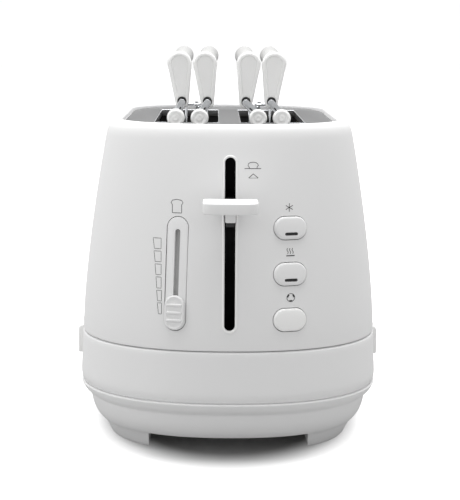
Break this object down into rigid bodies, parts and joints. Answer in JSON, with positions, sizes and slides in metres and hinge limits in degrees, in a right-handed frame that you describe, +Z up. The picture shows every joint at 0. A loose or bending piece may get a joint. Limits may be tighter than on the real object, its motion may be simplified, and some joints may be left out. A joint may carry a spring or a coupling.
{
  "type": "pop-up toaster",
  "caption": "White long-bodied pop-up toaster with long bread openings, front lever, browning slider, push buttons and lift-out sandwich cages.",
  "frame": {"origin": "on the table under the middle of the overall length and width", "axes": "+Z up, the front with lever and buttons faces -Y, +X to the right seen from the front"},
  "size_m": [0.1974, 0.3274, 0.2505],
  "materials": {
    "shell_plastic": "white moulded, gloss",
    "base_plastic": "white moulded, gloss",
    "control_plastic": "white moulded, gloss",
    "handle_plastic": "white heat-proof, gloss",
    "black_plastic": "black moulded",
    "circuit_board": "green board, satin",
    "plate_steel": "brushed along its length",
    "chromed_wire": "bright plated",
    "spring_steel": "drawn wire",
    "chamber_sheet": "plain sheet, dull",
    "tray_steel": "plain sheet",
    "mica_board": "pressed mica, satin",
    "heater_ribbon": "oxidised ribbon",
    "foot_rubber": "matt",
    "screw_steel": "zinc plated"
  },
  "bodies": {
    "housing": {"base": "base_plastic", "base_screw_front_left": "screw_steel", "base_screw_front_right": "screw_steel", "base_screw_rear_left": "screw_steel", "base_screw_rear_right": "screw_steel", "browning_panel": "control_plastic", "button_board": "circuit_board", "chamber_front_wall": "chamber_sheet", "chamber_rear_wall": "chamber_sheet", "chamber_reflector_left": "chamber_sheet", "chamber_reflector_right": "chamber_sheet", "control_board": "circuit_board", "cord_gland": "black_plastic", "electromagnet": "chamber_sheet", "foot_pad_front_left": "foot_rubber", "foot_pad_front_right": "foot_rubber", "foot_pad_rear_left": "foot_rubber", "foot_pad_rear_right": "foot_rubber", "guard_left_inner": "chromed_wire", "guard_left_outer": "chromed_wire", "guard_right_inner": "chromed_wire", "guard_right_outer": "chromed_wire", "guide_rod": "chromed_wire", "heater_board_centre": "mica_board", "heater_board_left": "mica_board", "heater_board_right": "mica_board", "heater_ribbon_centre_left": "heater_ribbon", "heater_ribbon_centre_right": "heater_ribbon", "heater_ribbon_left": "heater_ribbon", "heater_ribbon_right": "heater_ribbon", "lower_band": "shell_plastic", "return_spring": "spring_steel", "side_grip_left": "shell_plastic", "side_grip_right": "shell_plastic", "top_plate": "plate_steel", "upper_housing": "shell_plastic"},
    "carriage": {"carriage_bracket": "chamber_sheet", "lever_knob": "control_plastic", "bread_rack_left": "chamber_sheet", "bread_rack_right": "chamber_sheet", "armature_plate": "chamber_sheet"},
    "browning_slider": {"browning_slider": "control_plastic"},
    "defrost_button": {"button_defrost": "control_plastic", "button_lamp_defrost": "black_plastic"},
    "reheat_button": {"button_reheat": "control_plastic", "button_lamp_reheat": "black_plastic"},
    "cancel_button": {"button_cancel": "control_plastic"},
    "crumb_tray": {"crumb_tray": "tray_steel"},
    "cage_left": {"cage_wire_left_inner": "chromed_wire", "cage_handle_left_inner": "handle_plastic", "cage_knob_left_inner": "handle_plastic"},
    "cage_left_outer_half": {"cage_wire_left_outer": "chromed_wire", "cage_handle_left_outer": "handle_plastic", "cage_knob_left_outer": "handle_plastic"},
    "cage_right": {"cage_wire_right_inner": "chromed_wire", "cage_handle_right_inner": "handle_plastic", "cage_knob_right_inner": "handle_plastic"},
    "cage_right_outer_half": {"cage_wire_right_outer": "chromed_wire", "cage_handle_right_outer": "handle_plastic", "cage_knob_right_outer": "handle_plastic"}
  },
  "joints": [
    {"name": "carriage_slide", "type": "slide", "parent": "housing", "child": "carriage", "axis": [0, 0, 1], "range_m": [-0.063, 0.013], "stiffness_N_per_m": 250, "springref_m": 0.006, "deforming": ["return_spring"]},
    {"name": "browning_slide", "type": "slide", "parent": "housing", "child": "browning_slider", "axis": [0.0285, 0.1097, 0.9936], "range_m": [0, 0.042]},
    {"name": "defrost_press", "type": "slide", "parent": "housing", "child": "defrost_button", "axis": [-0.3079, 0.9408, -0.1418], "range_m": [0, 0.002], "stiffness_N_per_m": 500},
    {"name": "reheat_press", "type": "slide", "parent": "housing", "child": "reheat_button", "axis": [-0.2941, 0.949, -0.1136], "range_m": [0, 0.002], "stiffness_N_per_m": 500},
    {"name": "cancel_press", "type": "slide", "parent": "housing", "child": "cancel_button", "axis": [-0.2851, 0.9558, -0.0714], "range_m": [0, 0.002], "stiffness_N_per_m": 500},
    {"name": "crumb_tray_slide", "type": "slide", "parent": "housing", "child": "crumb_tray", "axis": [0, 1, 0], "range_m": [0, 0.15]},
    {"name": "cage_left_lift", "type": "slide", "parent": "housing", "child": "cage_left", "axis": [0, 0, 1], "range_m": [0, 0.13]},
    {"name": "cage_left_open", "type": "hinge", "parent": "cage_left", "child": "cage_left_outer_half", "pos_m": [-0.02285, 0.08835, 0.204], "axis": [0, 0, -1], "range_deg": [0, 3]},
    {"name": "cage_right_lift", "type": "slide", "parent": "housing", "child": "cage_right", "axis": [0, 0, 1], "range_m": [0, 0.13]},
    {"name": "cage_right_open", "type": "hinge", "parent": "cage_right", "child": "cage_right_outer_half", "pos_m": [0.02285, 0.08835, 0.204], "axis": [0, 0, 1], "range_deg": [0, 3]}
  ]
}
